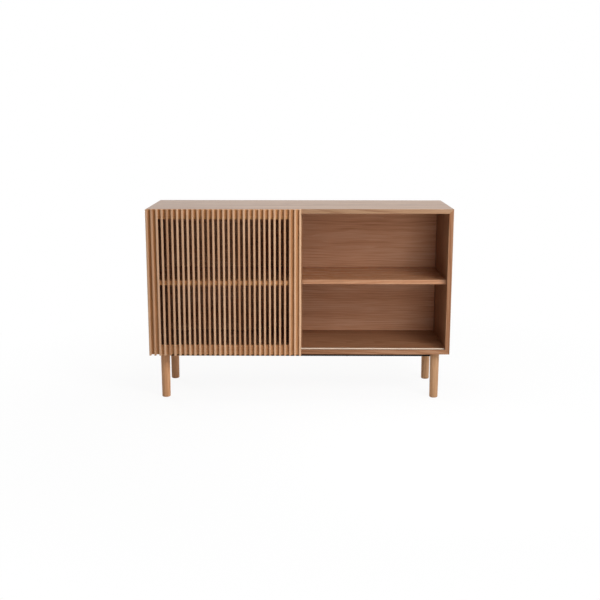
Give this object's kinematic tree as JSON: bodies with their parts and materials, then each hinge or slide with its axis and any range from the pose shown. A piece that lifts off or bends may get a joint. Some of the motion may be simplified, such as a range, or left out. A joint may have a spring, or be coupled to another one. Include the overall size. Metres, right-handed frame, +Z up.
{
  "type": "sliding door cabinet",
  "caption": "Low oak sideboard on round legs, with mitred boards, open shelves and one slatted door that rolls along the front.",
  "frame": {"origin": "on the floor, below the middle of the overall box with the door at the left end of its travel", "axes": "+X along the width, to the right seen from the front; -Y is the front with the door; +Z up"},
  "size_m": [1.2, 0.408, 0.775],
  "materials": {
    "oak": "oiled oak, straight and cathedral grain",
    "plywood": "raw birch plywood",
    "black_steel": "matt black powder coat",
    "plated_steel": "zinc plated",
    "aluminium": "pale satin anodised",
    "nylon": "moulded, natural white",
    "rubber": "moulded, matt"
  },
  "bodies": {
    "carcass": {"top_panel": "oak", "bottom_panel": "oak", "left_side_panel": "oak", "right_side_panel": "oak", "back_panel": "oak", "centre_divider": "oak", "left_shelf": "oak", "right_shelf": "oak", "front_left_leg": "oak", "front_right_leg": "oak", "rear_left_leg": "oak", "rear_right_leg": "oak", "mitre_splines": "plywood", "shelf_pins": "plated_steel", "leg_dowel_screws": "plated_steel", "front_stiffener": "black_steel", "stiffener_screws": "black_steel", "bottom_track": "aluminium", "groove_end_stops": "rubber"},
    "door": {"door_left_stile": "oak", "door_right_stile": "oak", "door_top_rail": "oak", "door_mid_rail": "oak", "door_bottom_rail": "oak", "slat_01": "oak", "slat_02": "oak", "slat_03": "oak", "slat_04": "oak", "slat_05": "oak", "slat_06": "oak", "slat_07": "oak", "slat_08": "oak", "slat_09": "oak", "slat_10": "oak", "slat_11": "oak", "slat_12": "oak", "slat_13": "oak", "slat_14": "oak", "slat_15": "oak", "slat_16": "oak", "slat_17": "oak", "slat_18": "oak", "slat_19": "oak", "slat_20": "oak", "slat_21": "oak", "slat_22": "oak", "slat_23": "oak", "slat_24": "oak", "slat_25": "oak", "slat_26": "oak", "slat_27": "oak", "slat_28": "oak", "slat_29": "oak", "slat_30": "oak", "slat_31": "oak", "roller_brackets": "plated_steel", "top_guides": "nylon", "door_screws": "plated_steel"},
    "left_roller": {"left_roller": "nylon"},
    "right_roller": {"right_roller": "nylon"}
  },
  "joints": [
    {"name": "door_slide", "type": "slide", "parent": "carcass", "child": "door", "axis": [1, 0, 0], "range_m": [0, 0.595]},
    {"name": "left_roller_spin", "type": "hinge", "parent": "door", "child": "left_roller", "pos_m": [-0.566, -0.1535, 0.2197], "axis": [0, 1, 0], "continuous": true},
    {"name": "right_roller_spin", "type": "hinge", "parent": "door", "child": "right_roller", "pos_m": [-0.029, -0.1535, 0.2197], "axis": [0, 1, 0], "continuous": true}
  ],
  "couplings": [
    {"joint": "left_roller_spin", "follows": "door_slide", "rad_per_m": 142.86},
    {"joint": "right_roller_spin", "follows": "door_slide", "rad_per_m": 142.86}
  ]
}
